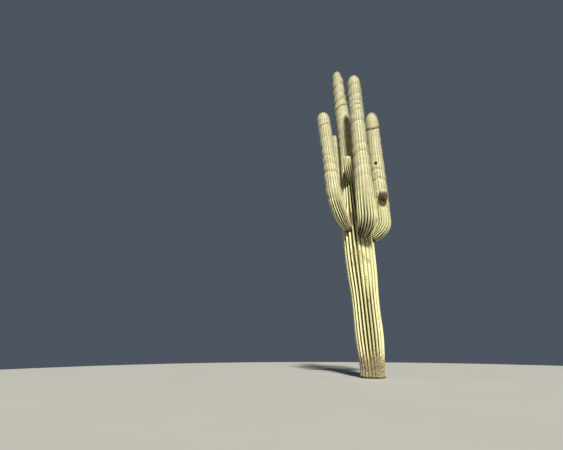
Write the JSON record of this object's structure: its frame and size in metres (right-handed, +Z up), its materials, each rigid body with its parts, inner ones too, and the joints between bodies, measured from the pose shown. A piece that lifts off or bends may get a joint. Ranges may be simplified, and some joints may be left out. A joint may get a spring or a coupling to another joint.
{
  "type": "saguaro cactus",
  "caption": "Tall mature saguaro cactus with a ribbed trunk, four long arms, one short arm and a round bud on the right arm.",
  "frame": {"origin": "middle of the flat cut under the trunk, at ground level", "axes": "+Z up the trunk, -Y towards the side the plant is seen from, +X to that viewer's right"},
  "size_m": [1.5543, 1.1781, 8.7],
  "materials": {
    "trunk_flesh": "waxy ribbed skin, corky at the foot",
    "arm_flesh": "waxy ribbed skin under dense pale spines",
    "bud_flesh": "young skin under brown spines",
    "spines": "stiff straw-coloured spines with grey and brown ones",
    "cork": "rough grey-brown cork and dry scar tissue"
  },
  "bodies": {
    "root": {"trunk": "trunk_flesh", "left_arm_elbow": "arm_flesh", "left_arm_upright": "arm_flesh", "rear_arm_elbow": "arm_flesh", "rear_arm_upright": "arm_flesh", "front_arm_elbow": "arm_flesh", "front_arm_upright": "arm_flesh", "right_arm_elbow": "arm_flesh", "right_arm_upright": "arm_flesh", "small_arm": "arm_flesh", "bud": "bud_flesh"}
  },
  "joints": []
}
